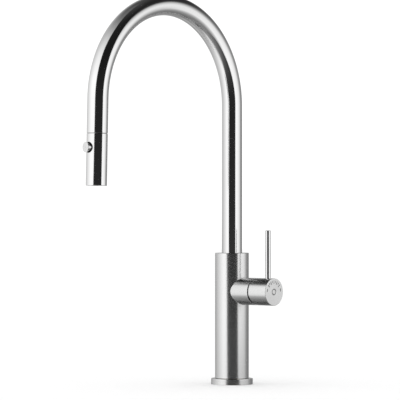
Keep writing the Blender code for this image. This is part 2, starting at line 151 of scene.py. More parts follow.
class TapSizes(bpy.types.PropertyGroup):
    """Sizes that a user may want to change."""

    sides: bpy.props.IntProperty(
        name="Sides", description="Facets round the large tubes", default=112, min=24)
    brush_pitch: bpy.props.FloatProperty(
        name="Brush pitch", description="Spacing of the drawn brush lines, in millimetres",
        default=0.55, min=0.05)
    braid_pitch: bpy.props.FloatProperty(
        name="Braid pitch", description="Length of one crossing of the hose braid, in millimetres",
        default=2.4, min=0.5)
    view_turn: bpy.props.FloatProperty(
        name="View turn", description="Direction of the camera, from -Y towards +X",
        default=math.radians(42.28), subtype="ANGLE")
    view_distance: bpy.props.FloatProperty(
        name="View distance", description="Camera to the column's axis", default=3.3,
        unit="LENGTH")
    view_height: bpy.props.FloatProperty(
        name="View height", description="Height of the level camera", default=0.2181,
        unit="LENGTH")
    view_shift: bpy.props.FloatProperty(
        name="View offset", description="Camera offset to its left", default=0.03786,
        unit="LENGTH")
    lens: bpy.props.FloatProperty(
        name="Lens", description="Focal length on a 36 mm sensor, in millimetres",
        default=250.6)
    tent_radius: bpy.props.FloatProperty(
        name="Light tent radius", description="Radius of the glowing tent round the tap",
        default=0.67, unit="LENGTH")


class TapColours(bpy.types.PropertyGroup):
    """Colours of the finishes, scene linear."""

    steel: bpy.props.FloatVectorProperty(
        name="Stainless steel", description="Colour of the brushed steel", subtype="COLOR",
        default=linear("#D2D2D2"), min=0, max=1)
    brass: bpy.props.FloatVectorProperty(
        name="Brass", description="Colour of the machined brass", subtype="COLOR",
        default=linear("#D9B873"), min=0, max=1)
    copper: bpy.props.FloatVectorProperty(
        name="Copper", description="Colour of the drawn copper pipe", subtype="COLOR",
        default=linear("#D2906F"), min=0, max=1)
    rubber: bpy.props.FloatVectorProperty(
        name="Rubber", description="Colour of the moulded rubber", subtype="COLOR",
        default=linear("#26272A"), min=0, max=1)
    acetal: bpy.props.FloatVectorProperty(
        name="Acetal", description="Colour of the white acetal", subtype="COLOR",
        default=linear("#E2E1DB"), min=0, max=1)
    floor: bpy.props.FloatVectorProperty(
        name="Floor", description="Colour of the pale worktop", subtype="COLOR",
        default=linear("#F6F6F6"), min=0, max=1)


def sizes():
    return bpy.context.scene.tap_sizes


def colours():
    return bpy.context.scene.tap_colours


# ---- meshes from grids of points ----
def blur(values, low, high):
    """Smooth step: 0 below low, 1 above high, and an S curve between them."""
    t = np.clip((values - low) / (high - low), 0, 1)
    return t * t * (3 - 2 * t)


def band(values, low, high, soft):
    """1 between low and high, fading to 0 over a soft edge on both sides."""
    return blur(values, low - soft / 2, low + soft / 2) * (
        1 - blur(values, high - soft / 2, high + soft / 2))


class Shell:
    """One closed mesh gathered from grids of points, in millimetres.

    Each point has a place, a normal (zero where the shape itself should give it) and a
    brushing coordinate: distance along the outline, then the place round the axis.
    """

    def __init__(self):
        self.places = []
        self.normals = []
        self.brushing = []
        self.faces = []
        self.maps = []
        self.count = 0

    def put(self, places, brushing, normals=None):
        """Adds a grid of points and returns their numbers in the same shape."""
        shape = places.shape[:-1]
        start = self.count
        self.count += int(np.prod(shape))
        self.places.append(places.reshape(-1, 3))
        self.brushing.append(brushing.reshape(-1, 3))
        self.normals.append(
            np.zeros((self.count - start, 3)) if normals is None else normals.reshape(-1, 3))
        return np.arange(start, self.count).reshape(shape)

    def join(self, numbers, maps, keep=...):
        """Faces between neighbours of a grid of numbers; keep masks cells out."""
        for grid, parts in ((numbers, self.faces), (maps, self.maps)):
            cells = np.stack([grid[:-1, :-1], grid[:-1, 1:], grid[1:, 1:], grid[1:, :-1]], 2)
            parts.append(cells[keep].reshape(-1, *cells.shape[2:]))

    def build(self, name, material):
        """Closes the grids into an object; a face with a repeated corner is a triangle."""
        faces = np.concatenate(self.faces)
        keep = faces != np.roll(faces, -1, axis=1)
        solid = keep.sum(1) > 2
        faces, keep, maps = faces[solid], keep[solid], np.concatenate(self.maps)[solid]
        used, faces = np.unique(faces, return_inverse=True)
        faces = faces.reshape(-1, 4)
        places = np.concatenate(self.places)[used] * MM
        ends = np.cumsum(keep.sum(1))[:-1]
        loops = [part.tolist() for part in np.split(faces[keep], ends)]
        mesh = bpy.data.meshes.new(name)
        mesh.from_pydata(places.tolist(), [], loops)
        way = mesh.uv_layers.new(name="way")
        way.data.foreach_set("uv", maps[keep].ravel())
        outward(mesh)
        attribute = mesh.attributes.new("brushing", "FLOAT_VECTOR", "POINT")
        attribute.data.foreach_set("vector", np.concatenate(self.brushing)[used].ravel())
        mesh.shade_smooth()
        mesh.normals_split_custom_set_from_vertices(
            vertex_normals(mesh, np.concatenate(self.normals)[used]).tolist())
        mesh.materials.append(material)
        piece = bpy.data.objects.new(name, mesh)
        bpy.context.scene.collection.objects.link(piece)
        return piece


def outward(mesh):
    """Turns every face of a closed mesh outwards."""
    shape = bmesh.new()
    shape.from_mesh(mesh)
    bmesh.ops.recalc_face_normals(shape, faces=shape.faces)
    shape.to_mesh(mesh)
    shape.free()


def vertex_normals(mesh, known):
    """Known normals, turned outwards; elsewhere the mean of the faces, weighted by area."""
    areas = np.empty(len(mesh.polygons))
    mesh.polygons.foreach_get("area", areas)
    flat = np.empty(len(mesh.polygons) * 3)
    mesh.polygons.foreach_get("normal", flat)
    totals = np.empty(len(mesh.polygons), int)
    mesh.polygons.foreach_get("loop_total", totals)
    corners = np.empty(len(mesh.loops), int)
    mesh.loops.foreach_get("vertex_index", corners)
    weighted = np.repeat(flat.reshape(-1, 3) * areas[:, None], totals, axis=0)
    mean = np.zeros_like(known)
    np.add.at(mean, corners, weighted)
    mean /= np.maximum(np.linalg.norm(mean, axis=1, keepdims=True), 1e-12)
    given = np.linalg.norm(known, axis=1) > 0.5
    side = np.where((known * mean).sum(1) < 0, -1.0, 1.0)
    return np.where(given[:, None], known * side[:, None], mean)


def straight(origin, ahead, right):
    """A way: distance along -> place on the axis, and its right, up and ahead directions."""
    origin, ahead, right = vector(origin), unit(ahead), unit(right)
    up = np.cross(ahead, right)

    def way(along):
        along = np.asarray(along, float)
        return origin + along[..., None] * ahead, right, up, ahead
    return way


COLUMN = straight((0, 0, 0), Z_AXIS, X_AXIS)
HANDLE = straight((0, 0, HANDLE_Z), X_AXIS, Z_AXIS)
ROD = straight((ROD_X, 0, HANDLE_Z), Z_AXIS, X_AXIS)
HEAD = straight(LEG_START, DOWN, PRESS_OUT)
LEG = straight(LEG_START, DOWN, X_AXIS)
PRESS = straight(LEG_START + DOWN * BUTTON_ALONG, PRESS_OUT, DOWN)

RISER_LENGTH = ARC_Z - TUBE_LOW_Z
ARC_END = RISER_LENGTH + ARC_R * ARC_TURN


def spout_way(along):
    """Distance from the riser's low end: straight up, round the arc, then down the leg.

    On the arc the direction turns by distance / radius; before and after it is constant.
    """
    along = np.asarray(along, float)
    turn = np.clip((along - RISER_LENGTH) / ARC_R, 0, ARC_TURN)
    before = np.minimum(along - RISER_LENGTH, 0)
    after = np.maximum(along - ARC_END, 0)
    zero = np.zeros_like(turn)
    ahead = np.stack([zero, -np.sin(turn), np.cos(turn)], -1)
    side = np.stack([zero, np.cos(turn), np.sin(turn)], -1)
    centre = vector((0, -ARC_R, ARC_Z)) + ARC_R * side
    centre = centre + ahead * (before + after)[..., None]
    right = np.broadcast_to(X_AXIS, ahead.shape)
    return centre, right, side, ahead


def outline(*corners, bends=4):
    """Points of a closed (radius, along) outline; a third number rounds that corner.

    The arc touches both lines of its corner, so it starts edge * tan(turn / 2) before it.
    """
    points = []
    count = len(corners)
    for k, corner in enumerate(corners):
        here = vector(corner[:2])
        edge = corner[2] if len(corner) > 2 else 0
        if not edge:
            points.append(here)
            continue
        first = unit(here - vector(corners[k - 1][:2]))
        second = unit(vector(corners[(k + 1) % count][:2]) - here)
        cross = first[0] * second[1] - first[1] * second[0]
        turn = math.atan2(abs(cross), float(first @ second))
        inner = np.sign(cross) * vector((-first[1], first[0]))
        start = here - first * edge * math.tan(turn / 2)
        for angle in np.linspace(0, turn, bends + 1):
            step = math.sin(angle) * first + (1 - math.cos(angle)) * inner
            points.append(start + edge * step)
    return np.array(points)


def stops(radius, start, end, count):
    """Points of a wall between two distances, for a grid that needs rows there."""
    return [(radius, along) for along in np.linspace(start, end, count + 1)]


def rows(along, start, end, count):
    """Points of a flat face between two radii."""
    return [(radius, along) for radius in np.linspace(start, end, count + 1)]


def columns(count):
    return np.linspace(0, TURN, count + 1)


def lathe(shell, points, way, turns, warp=None, holes=()):
    """Carries a closed outline of (radius, along) round a way.

    place = centre(along) + radius * (cos turn * right + sin turn * up).  The outline's normal
    at a point is square to the line between its neighbours.  warp(radius, along, turn) may
    move points.  Each of the holes, (first row, cells), leaves a square block of cells out.
    Returns the grid's numbers, its map and the outline's running length.
    """
    radius, along = points.T
    change = np.roll(points, -1, 0) - np.roll(points, 1, 0)
    slope = np.stack([change[:, 1], -change[:, 0]], 1)
    slope /= np.maximum(np.linalg.norm(slope, axis=1, keepdims=True), 1e-12)
    steps = np.linalg.norm(np.roll(points, -1, 0) - points, axis=1)
    length = np.concatenate([[0], np.cumsum(steps)])
    angle = turns[:-1]
    r = np.repeat(radius[:, None], len(angle), 1)
    s = np.repeat(along[:, None], len(angle), 1)
    moved = np.zeros(r.shape, bool)
    if warp:
        new_r, new_s = warp(r, s, angle[None, :] + 0 * r)
        moved = np.abs(new_r - r) + np.abs(new_s - s) > 1e-6
        for shift in ((1, 0), (-1, 0), (0, 1), (0, -1)):
            moved = moved | np.roll(moved, shift, (0, 1))
        r, s = new_r, new_s
    centre, right, up, ahead = way(s)
    spoke = np.cos(angle)[None, :, None] * right + np.sin(angle)[None, :, None] * up
    places = centre + r[..., None] * spoke
    normals = slope[:, 0, None, None] * spoke + slope[:, 1, None, None] * ahead
    normals = np.where(moved[..., None], 0, normals)
    brushing = np.stack(
        [length[:-1, None] + 0 * r, r * np.cos(angle), r * np.sin(angle)], -1)
    numbers = shell.put(places, brushing, normals)
    poles = radius < 1e-9
    numbers[poles] = numbers[poles][:, :1]
    numbers = np.concatenate([numbers, numbers[:, :1]], 1)
    numbers = np.concatenate([numbers, numbers[:1]], 0)
    maps = np.stack(np.broadcast_arrays(length[:, None], turns[None, :] * AROUND), -1)
    keep = np.ones((numbers.shape[0] - 1, numbers.shape[1] - 1), bool)
    for first, cells in holes:
        keep[first:first + cells, :cells] = False
    shell.join(numbers, maps, keep)
    return numbers, maps, length


def ring_angles(cells):
    """Angles of the points round a hole, one for each cell of its square block's rim."""
    return math.radians(225) + TURN * np.arange(4 * cells) / (4 * cells)


def open_wall(shell, grid, points, first, cells, turns, way, middle, hole_r, rings):
    """Fills a square block of a cylinder's wall up to a round hole of radius hole_r.

    Between the hole's circle and the block's rim the points go in straight lines on the flat
    view along the hole's axis, and are put back on the cylinder: turn = arcsin(across / R).
    """
    numbers, maps, length = grid
    wall_r = points[first, 0]
    rising = points[first + cells, 1] > points[first, 1]
    k = np.arange(cells)
    row = np.concatenate([0 * k, k, 0 * k + cells, cells - k])
    column = np.concatenate([k, 0 * k + cells, cells - k, 0 * k])
    row = first + (row if rising else cells - row)
    rim = np.stack([wall_r * np.sin(turns[column]), points[row, 1]], -1)
    angle = ring_angles(cells)
    circle = np.stack([hole_r * np.cos(angle), middle + hole_r * np.sin(angle)], -1)
    part = ((np.arange(rings) / rings) ** 1.4)[:, None, None]
    flat = circle * (1 - part) + rim * part
    turn = np.arcsin(flat[..., 0] / wall_r)
    centre, right, up, _ = way(flat[..., 1])
    spoke = np.cos(turn)[..., None] * right + np.sin(turn)[..., None] * up
    along = length[first] + np.abs(flat[..., 1] - points[first, 1])
    brushing = np.stack([along, wall_r * np.cos(turn), wall_r * np.sin(turn)], -1)
    patch = shell.put(centre + wall_r * spoke, brushing, spoke)
    patch_map = np.stack([along, turn * AROUND], -1)
    patch = np.concatenate([patch, numbers[row, column][None]], 0)
    patch_map = np.concatenate([patch_map, maps[row, column][None]], 0)
    patch = np.concatenate([patch, patch[:, :1]], 1)
    patch_map = np.concatenate([patch_map, patch_map[:, :1]], 1)
    shell.join(patch, patch_map)
    return patch[0]


def drill(shell, points, way, half, cells, rest, middle, walls, warp=None, rings=10):
    """A lathed outline with a round hole, across its axis, through one or two walls.

    Each wall is its radius, the side of the hole where its rows start, and the hole's radius.
    Columns over the hole have an even sine.  Returns the rim's numbers in each wall.
    """
    block = np.arcsin(np.linspace(-1, 1, cells + 1) * math.sin(half))
    turns = np.concatenate([block, np.linspace(half, TURN - half, rest + 1)[1:]])
    starts = []
    for wall_r, side, _ in walls:
        corner = (wall_r, middle + side * wall_r * math.sin(half))
        starts.append(int(np.argmin(np.hypot(*(points - corner).T))))
    grid = lathe(shell, points, way, turns, warp, [(first, cells) for first in starts])
    return [
        open_wall(shell, grid, points, first, cells, turns, way, middle, hole_r, rings)
        for first, (_, _, hole_r) in zip(starts, walls)]


def throat(shell, start, end, levels, way, middle, cells):
    """Rings (radius, height) about a hole's own axis, from one wall's hole to the next.

    place = centre + height * right + radius * (cos angle * up + sin angle * ahead).
    """
    angle = ring_angles(cells)
    centre, right, up, ahead = way(middle)
    spoke = np.cos(angle)[:, None] * up + np.sin(angle)[:, None] * ahead
    radius = np.stack([0 * angle + level[0] for level in levels])
    height = np.stack([0 * angle + level[1] for level in levels])
    places = centre + height[..., None] * right + radius[..., None] * spoke
    brushing = np.stack([height, radius * np.cos(angle), radius * np.sin(angle)], -1)
    numbers = shell.put(places, brushing)
    numbers[radius[:, 0] < 1e-9] = numbers[radius[:, 0] < 1e-9][:, :1]
    numbers = np.concatenate([numbers, numbers[:, :1]], 1)
    numbers = np.concatenate([start[None], numbers] + ([] if end is None else [end[None]]))
    steps = np.hypot(np.diff(radius, axis=0), np.diff(height, axis=0)).max(1)
    join = 0.3
    length = np.concatenate([[0, join], join + np.cumsum(steps)])
    length = np.append(length, length[-1] + join)[:len(numbers)]
    around = np.append(angle, angle[0] + TURN) * AROUND
    shell.join(numbers, np.stack(np.broadcast_arrays(length[:, None], around[None]), -1))


def rounding(wall_r, hole_r, edge, outwards, cells, count=4):
    """Levels of a small rounded edge where a hole or a stub meets a cylinder's wall.

    A parabola from the wall, edge away from the corner, to the hole's own wall.
    """
    across = np.cos(ring_angles(cells))
    corner = np.sqrt(wall_r ** 2 - (hole_r * across) ** 2)
    outer = np.sqrt(wall_r ** 2 - ((hole_r + edge) * across) ** 2)
    inner = corner + edge * (1 if outwards else -1)
    levels = []
    for t in np.linspace(0, 1, count + 1)[1:]:
        radius = (1 - t) ** 2 * (hole_r + edge) + (1 - (1 - t) ** 2) * hole_r
        height = (1 - t) ** 2 * outer + 2 * t * (1 - t) * corner + t * t * inner
        levels.append((radius, height))
    return levels


def place_piece(shell, name, body, slot, node, look=None):
    """Builds a piece that moves with its body and stands for its CAD node.

    Its finish is the slot's own, or another look of the same metal.
    """
    piece = shell.build(name, finish(look or slot))
    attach(piece, body)
    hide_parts(node)
    return piece


def set_numbers(piece, name, values):
    """Gives each vertex a number that the materials can read."""
    attribute = piece.data.attributes.new(name, "FLOAT", "POINT")
    attribute.data.foreach_set("value", values)


# ---- materials ----
def add(tree, kind, inputs=None, **settings):
    """Adds a shader node, sets its properties, and links or sets its inputs."""
    node = tree.nodes.new("ShaderNode" + kind)
    for name, value in settings.items():
        setattr(node, name, value)
    for name, value in (inputs or {}).items():
        if isinstance(value, bpy.types.NodeSocket):
            tree.links.new(value, node.inputs[name])
        else:
            node.inputs[name].default_value = value
    return node


def new_material(name):
    material = bpy.data.materials.new(name)
    material.use_nodes = True
    tree = material.node_tree
    tree.nodes.clear()
    return material, tree


def finish_material(tree, inputs):
    shader = add(tree, "BsdfPrincipled", inputs)
    add(tree, "OutputMaterial", {"Surface": shader.outputs["BSDF"]})


def shade(colour, factor):
    """A colour made darker or lighter, with its alpha."""
    return (*[min(c * factor, 1) for c in colour], 1)


def brushed_steel(name, roughness, anisotropy, spread, depth):
    """Stainless steel, 304, finished with an abrasive belt while the piece turns.

    The fine lines run round each tube, so a reflection stays narrow across the tube and
    smears out along it.  The lines' depth is in millimetres.
    """
    material, tree = new_material(name)
    pitch = sizes().brush_pitch
    # Real belt lines are about 0.05 mm apart; they are drawn coarser, so that they show,
    # and twenty times as long as they are wide.
    source = add(tree, "Attribute", attribute_name="brushing").outputs["Vector"]
    fine = add(tree, "Mapping", {
        "Vector": source, "Scale": (1 / pitch, 0.05 / pitch, 0.05 / pitch)})
    lines = add(tree, "TexNoise", {
        "Vector": fine.outputs["Vector"], "Scale": 1.0, "Detail": 3.0, "Roughness": 0.6})
    broad = add(tree, "Mapping", {"Vector": source, "Scale": (0.05, 0.03, 0.03)})
    cloud = add(tree, "TexNoise", {
        "Vector": broad.outputs["Vector"], "Scale": 1.0, "Detail": 2.0})
    mixed = add(tree, "Mix", {
        "Factor": 0.25, "A": lines.outputs["Fac"], "B": cloud.outputs["Fac"]}, data_type="FLOAT")
    rough = add(tree, "MapRange", {
        "Value": mixed.outputs["Result"], "From Min": 0.3, "From Max": 0.7,
        "To Min": roughness - spread, "To Max": roughness + spread})
    steel = colours().steel
    grey = add(tree, "Mix", {
        "Factor": lines.outputs["Fac"], "A": shade(steel, 0.96), "B": shade(steel, 1.04)},
        data_type="RGBA")
    # Marks that are etched into a face are darker; a piece without them reads as 0.
    etched = add(tree, "Attribute", attribute_name="etched")
    grey = add(tree, "Mix", {
        "Factor": etched.outputs["Fac"], "A": grey.outputs["Result"],
        "B": shade(steel, 0.35)}, data_type="RGBA")
    bump = add(tree, "Bump", {
        "Strength": 1.0, "Distance": depth * MM, "Height": lines.outputs["Fac"]})
    tangent = add(tree, "Tangent", direction_type="UV_MAP", uv_map="way")
    finish_material(tree, {
        "Base Color": grey.outputs["Result"], "Metallic": 1.0,
        "Roughness": rough.outputs["Result"], "Anisotropic": anisotropy,
        "Tangent": tangent.outputs["Tangent"], "Normal": bump.outputs["Normal"]})
    return material


def noisy(name, colour, metallic, roughness, grain_mm, bump_mm, contrast=0.12, sockets=None):
    """A plain finish with the slight mottle and grain of its process."""
    material, tree = new_material(name)
    source = add(tree, "TexCoord").outputs["Object"]
    grain = add(tree, "TexNoise", {
        "Vector": source, "Scale": 1 / (grain_mm * MM), "Detail": 3.0})
    mix = add(tree, "Mix", {
        "Factor": grain.outputs["Fac"], "A": shade(colour, 1 - contrast),
        "B": shade(colour, 1 + contrast)}, data_type="RGBA")
    rough = add(tree, "MapRange", {
        "Value": grain.outputs["Fac"], "From Min": 0.3, "From Max": 0.7,
        "To Min": roughness * 0.85, "To Max": min(roughness * 1.15, 1)})
    bump = add(tree, "Bump", {
        "Strength": 1.0, "Distance": bump_mm * MM, "Height": grain.outputs["Fac"]})
    finish_material(tree, {
        "Base Color": mix.outputs["Result"], "Metallic": metallic,
        "Roughness": rough.outputs["Result"], "Normal": bump.outputs["Normal"],
        **(sockets or {})})
    return material


def braid_material():
    """Nylon sleeve over the spray hose: grey yarns that cross at a slant, satin."""
    material, tree = new_material("Braided nylon sleeve")
    source = add(tree, "Attribute", attribute_name="brushing").outputs["Vector"]
    split = add(tree, "SeparateXYZ", {"Vector": source})
    pitch = sizes().braid_pitch
    yarns = 12
    turn = add(tree, "Math", {
        0: split.outputs["Z"], 1: split.outputs["Y"]}, operation="ARCTAN2")
    around = add(tree, "Math", {0: turn.outputs[0], 1: yarns}, operation="MULTIPLY")
    length = add(tree, "Math", {
        0: split.outputs["X"], 1: TURN / pitch}, operation="MULTIPLY")
    waves = []
    for sign in ("ADD", "SUBTRACT"):
        slant = add(tree, "Math", {
            0: length.outputs[0], 1: around.outputs[0]}, operation=sign)
        waves.append(add(tree, "Math", {0: slant.outputs[0]}, operation="SINE"))
    height = add(tree, "Math", {
        0: waves[0].outputs[0], 1: waves[1].outputs[0]}, operation="MULTIPLY")
    level = add(tree, "MapRange", {
        "Value": height.outputs[0], "From Min": -1.0, "From Max": 1.0})
    # The grey yarns are drawn darker where the braid lies low and lighter where it stands high: painted shade in
    # the hollows between the crossings.
    shaded_tone = add(tree, "Mix", {
        "Factor": level.outputs["Result"], "A": (*linear("#3B3C3F"), 1),
        "B": (*linear("#8E9094"), 1)}, data_type="RGBA")
    bump = add(tree, "Bump", {
        "Strength": 1.0, "Distance": 0.25 * MM, "Height": level.outputs["Result"]})
    finish_material(tree, {
        "Base Color": shaded_tone.outputs["Result"], "Metallic": 0.0, "Roughness": 0.5,
        "Normal": bump.outputs["Normal"], "Sheen Weight": 0.2})
    return material


FINISHES = {}


def plain_finishes():
    """Name, colour, metallic, roughness, grain and bump in millimetres for noisy()."""
    own = colours()
    return {
        # Mill-finished stainless sheet and wire: soft, slightly cloudy shine.
        "plain_steel": ("Plain stainless steel", linear("#BDBDBB"), 1.0, 0.32, 1.5, 0.01),
        # Free-cutting brass off the lathe: warm, with fine tool marks.
        "brass": ("Machined brass", own.brass, 1.0, 0.28, 0.8, 0.01),
        # Drawn copper pipe, lightly oxidised in patches.
        "copper_pipe": ("Drawn copper", own.copper, 1.0, 0.3, 4.0, 0.01, 0.2),
        # Moulded EPDM rubber: dark, matt, with a fine moulded grain.
        "rubber": ("Moulded rubber", own.rubber, 0.0, 0.65, 0.5, 0.02),
        # Glass-filled nylon: black with a dull, slightly rough skin.
        "dark_plastic": ("Glass-filled nylon", linear("#2B2C2E"), 0.0, 0.5, 0.6, 0.02),
        # Machined acetal: white, waxy and a little translucent.
        "acetal": (
            "Machined acetal", own.acetal, 0.0, 0.38, 1.2, 0.01, 0.03,
            {"Subsurface Weight": 0.1, "Subsurface Scale": 0.001}),
        # Lapped alumina: off-white and almost polished.
        "ceramic": ("Lapped alumina", linear("#EFEBE0"), 0.0, 0.15, 1.0, 0.002, 0.03),
        # Sintered ferrite: charcoal and slightly grainy.
        "magnet": ("Sintered ferrite", linear("#3A3A3C"), 0.6, 0.45, 0.4, 0.02),
    }


def finish(slot):
    """The material for one of the record's slots, or for the satin steel, made once."""
    if slot in FINISHES:
        return FINISHES[slot]
    if slot == "hose_braid":
        material = braid_material()
    elif slot == "brushed_stainless":
        material = brushed_steel("Belt-brushed steel, fine", 0.11, 0.6, 0.01, 0.0002)
    elif slot == "satin_stainless":
        material = brushed_steel("Belt-brushed steel, satin", 0.25, 0.5, 0.03, 0.001)
    else:
        material = noisy(*plain_finishes()[slot])
    FINISHES[slot] = material
    return material


# ---- the column ----
def make_body():
    """Column and handle stub in one skin: two cylinders that meet in a rounded edge."""
    shell = Shell()
    cells = 28
    half = math.radians(72)
    bore_r, foot_bore, neck_bore, stub_bore = 18.2, 16.7, TUBE_R + 0.4, 12.9
    stub_r, edge, seam = 16.0, 0.5, 0.35
    low, high = BODY_LOW[2], BODY_HIGH[2]
    foot_top, neck_low = 24, high - 4
    reach = BODY_R * math.sin(half)
    inner_reach = bore_r * math.sin(half)
    points = outline(
        (foot_bore, low), (BODY_R, low, 0.3),
        *stops(BODY_R, low + 1, HANDLE_Z - reach - 4, 8),
        *stops(BODY_R, HANDLE_Z - reach, HANDLE_Z + reach, cells),
        *stops(BODY_R, HANDLE_Z + reach + 4, high - 1.2, 4),
        (BODY_R, high, edge), (neck_bore, high, 0.25), (neck_bore, neck_low), (bore_r, neck_low),
        *stops(bore_r, HANDLE_Z + inner_reach, HANDLE_Z - inner_reach, cells),
        (bore_r, foot_top), (foot_bore, foot_top))
    start, end = drill(
        shell, points, COLUMN, half, cells, 84, HANDLE_Z,
        ((BODY_R, -1, stub_r + seam), (bore_r, 1, stub_bore)))
    face = outline(
        (stub_r, 0), (stub_r, STUB_END_X, edge), (stub_bore, STUB_END_X, 0.3), (stub_bore, 0))
    wall = rounding(BODY_R, stub_r, seam, True, cells)
    foot = wall[-1][1]
    level_wall = [(stub_r, foot + (STUB_END_X - 1.5 - foot) * k / 5) for k in range(1, 6)]
    levels = wall + level_wall + [tuple(point) for point in face[1:-1]]
    throat(shell, start, end, levels, COLUMN, HANDLE_Z, cells)
    place_piece(
        shell, "column_body", "column", "brushed_stainless", "body_shell", look="satin_stainless")


def make_base_ring():
    """Flange that stands on the worktop: a seal's groove below, a rounded rim above."""
    shell = Shell()
    bore, seal_in, seal_out, seal_top = 16.9, 18.2, 23.3, 2.3
    points = outline(
        (bore, 0), (seal_in, 0), (seal_in, seal_top), (seal_out, seal_top), (seal_out, 0),
        (BASE_R, 0, 0.25),
        *stops(BASE_R, 1, BASE_TOP - 1.5, 3), (BASE_R, BASE_TOP, 0.7),
        *rows(BASE_TOP, BASE_R - 1.5, bore + 1, 4), (bore, BASE_TOP))
    lathe(shell, points, COLUMN, columns(sizes().sides))
    place_piece(
        shell, "base_flange", "column", "brushed_stainless", "base_ring", look="satin_stainless")


# ---- the handle ----
def engraving(radius, turn):
    """Marks in the handle's face, 0 to 1: a scale of ticks, two dashes and a ring.

    A tick is where turn, less the nearest whole number of spacings, is under a width.
    """
    degrees = np.degrees((turn + math.pi) % TURN - math.pi)
    spacing, last_tick, line_mm = 13.0, 59, 0.5
    long_from, short_from, ticks_to = 9.4, 10.9, 13.4
    nearest = np.abs((degrees + spacing / 2) % spacing - spacing / 2)
    width = np.degrees(line_mm / np.maximum(radius, 1))
    tick = 1 - blur(nearest, width * 0.7, width * 1.4)
    long_tick = np.abs((degrees + spacing) % (2 * spacing) - spacing) < spacing / 2
    inner = np.where(long_tick, long_from, short_from)
    tick = tick * band(radius, inner, ticks_to, 0.5) * band(degrees, -last_tick, last_tick, 1)
    dash = band(np.abs(degrees), 72.0, 88.0, 3.0) * band(radius, 11.2, 12.7, 0.4)
    ring = band(radius, 2.6, 3.8, 0.5)
    return np.maximum(np.maximum(tick, dash), ring)


def make_handle_cap():
    """The round handle: a cup over the dome ring whose lower rim is planed back.

    The plane is square to the stub's axis turned by the tilt; rim points move ahead to it,
    and those behind them share out the room.
    """
    shell = Shell()
    cells = 14
    cavity_r, cavity_end = 13.4, 49.5
    stem_r, stem_end = 3.6, 61.0
    start_x, end_x = CAP_LOW[0], CAP_HIGH[0]
    shared, reach = start_x + 6.0, 6.0
    half = math.asin(reach / CAP_R)
    face_r = CAP_R - 0.8
    points = outline(
        (cavity_r, start_x, 0.15), (CAP_R, start_x, 0.25),
        *stops(CAP_R, start_x + 0.8, shared, 5),
        *stops(CAP_R, ROD_X - reach, ROD_X + reach, cells),
        (CAP_R, end_x - 1.2), (CAP_R, end_x, 0.5),
        *rows(end_x, face_r, 0, 72), (0, stem_end),
        (stem_r, stem_end), (stem_r, cavity_end), (cavity_r, cavity_end),
        *stops(cavity_r, shared, start_x + 0.8, 5))
    clearance = STUB_END_X + 0.2 - PIVOT_X
    mark_depth = 0.2

    def warp(radius, along, turn):
        height = radius * np.cos(turn)
        plane = PIVOT_X + (clearance - math.sin(TILT) * height) / math.cos(TILT)
        rim = np.maximum(plane, start_x)
        share = np.clip((shared - along) / (shared - start_x), 0, 1)
        moved = along + share * (rim - start_x)
        on_face = np.abs(along - end_x) < 1e-9
        return radius, moved - np.where(on_face, mark_depth * engraving(radius, turn), 0)

    seat_r, seat_floor, edge = ROD_R + 0.3, 14.4, 0.25
    start, = drill(
        shell, points, HANDLE, half, cells, 200, ROD_X, ((CAP_R, -1, seat_r + edge),), warp, 6)
    levels = rounding(CAP_R, seat_r, edge, False, cells) + [(seat_r, seat_floor), (0, seat_floor)]
    throat(shell, start, None, levels, HANDLE, ROD_X, cells)
    piece = place_piece(
        shell, "handle_body", "lever", "brushed_stainless", "handle_cap", look="satin_stainless")
    x, y, z = (vertex_places(piece) - vector((0, 0, HANDLE_Z))).T
    on_face = x > end_x - mark_depth - 0.1
    set_numbers(piece, "etched", engraving(np.hypot(y, z), np.arctan2(-y, z)) * on_face)


def make_dome_ring():
    """A zone of a sphere round the tilt axis: radius * sin(angle), radius * cos(angle)."""
    shell = Shell()
    outer, inner, mouth = 12.6, 11.4, 8.4
    points = []
    for radius, order in ((outer, 1), (inner, -1)):
        last = math.asin(mouth / radius)
        angles = np.linspace(math.pi / 2, last, 16)[::order]
        zone = np.stack([radius * np.sin(angles), PIVOT_X + radius * np.cos(angles)], -1)
        points.append(zone)
    lathe(shell, np.concatenate(points), HANDLE, columns(96))
    # The dome takes the black nylon so that the gap between the handle's rim and the stub shows dark: painted
    # shade, a dark part put where the gap's shadow falls.
    place_piece(shell, "handle_dome", "column", "dark_plastic", "dome_ring")


def make_rod():
    """Lever rod with a rounded tip, on a thinner threaded stud."""
    shell = Shell()
    low, high = ROD_LOW[2] - HANDLE_Z, ROD_HIGH[2] - HANDLE_Z
    stud_r, shoulder = 2.0, 14.7
    points = outline(
        (0, low), (stud_r, low), (stud_r, shoulder), (ROD_R, shoulder, 0.2),
        *stops(ROD_R, shoulder + 1, high - 1.5, 10), (ROD_R, high, 0.6), (0, high), bends=5)
    lathe(shell, points, ROD, columns(56))
    place_piece(shell, "lever_rod", "lever", "brushed_stainless", "handle_rod")


# ---- the spout ----
def make_spout():
    """Bent tube: riser, arc and leg in one skin, with both walls and rounded ends."""
    shell = Shell()
    bore = TUBE_R - TUBE_WALL
    end = ARC_END + TUBE_END
    outer = stops(TUBE_R, 1, RISER_LENGTH, 10)[:-1] + stops(TUBE_R, RISER_LENGTH, ARC_END, 150)
    outer += stops(TUBE_R, ARC_END + 2, end - 1, 6)
    inner = [(bore, along) for _, along in reversed(outer)]
    points = outline(
        (bore, 0, 0.2), (TUBE_R, 0, 0.2), *outer, (TUBE_R, end, 0.3), (bore, end, 0.2), *inner)
    lathe(shell, points, spout_way, columns(sizes().sides))
    place_piece(shell, "spout_bent_tube", "spout", "brushed_stainless", "spout_tube")


